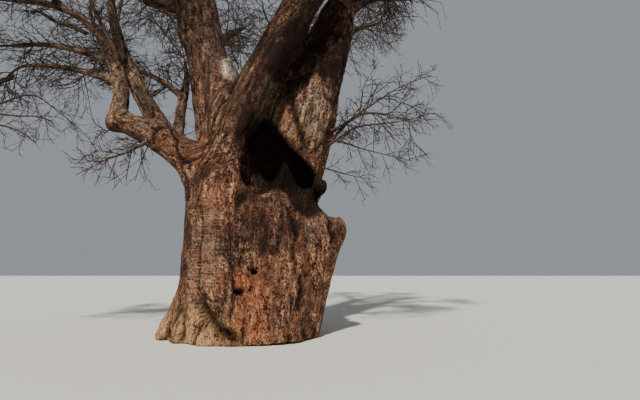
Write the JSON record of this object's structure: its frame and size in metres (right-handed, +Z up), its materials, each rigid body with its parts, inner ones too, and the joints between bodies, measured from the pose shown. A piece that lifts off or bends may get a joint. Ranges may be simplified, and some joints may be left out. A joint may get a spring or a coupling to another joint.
{
  "type": "baobab tree",
  "caption": "Bare baobab tree with a massive folded red-brown trunk, thick tapering boughs and a wide crown of fine twigs.",
  "frame": {"origin": "centre of the flat cut under the trunk, at ground level", "axes": "+Z up, +X to the right of the front view, +Y away from the front view"},
  "size_m": [22.1665, 17.1184, 19.2217],
  "materials": {
    "bark": "matte",
    "limb_bark": "matte",
    "twigs": "matte"
  },
  "bodies": {
    "root": {"back_left_bough": "bark", "back_left_limb": "limb_bark", "back_left_rear_limb": "limb_bark", "back_right_bough": "bark", "back_right_limb": "limb_bark", "back_right_rear_limb": "limb_bark", "broken_limb": "limb_bark", "centre_bough": "bark", "centre_front_limb": "limb_bark", "centre_left_limb": "limb_bark", "centre_top_limb": "limb_bark", "front_bough": "bark", "front_left_limb": "limb_bark", "front_right_limb": "limb_bark", "front_top_limb": "limb_bark", "inner_limb": "limb_bark", "left_back_limb": "limb_bark", "left_bough": "bark", "left_front_limb": "limb_bark", "left_high_limb": "limb_bark", "left_lower_arm": "limb_bark", "left_riser": "limb_bark", "left_under_spur": "limb_bark", "left_upper_arm": "limb_bark", "right_back_limb": "limb_bark", "right_bough": "bark", "right_outer_limb": "limb_bark", "right_side_spur": "limb_bark", "right_top_limb": "limb_bark", "right_upper_spur": "limb_bark", "small_arm": "limb_bark", "small_riser": "limb_bark", "trunk": "bark", "twigs_back_left": "twigs", "twigs_back_left_rear": "twigs", "twigs_back_right": "twigs", "twigs_back_right_rear": "twigs", "twigs_centre_front": "twigs", "twigs_centre_left": "twigs", "twigs_centre_top": "twigs", "twigs_front_left": "twigs", "twigs_front_right": "twigs", "twigs_front_top": "twigs", "twigs_inner": "twigs", "twigs_left_back": "twigs", "twigs_left_front": "twigs", "twigs_left_high": "twigs", "twigs_left_lower_arm": "twigs", "twigs_left_under": "twigs", "twigs_left_upper_arm": "twigs", "twigs_right_back": "twigs", "twigs_right_outer": "twigs", "twigs_right_side": "twigs", "twigs_right_top": "twigs", "twigs_right_upper": "twigs", "twigs_small_arm": "twigs", "twigs_small_riser": "twigs"}
  },
  "joints": []
}
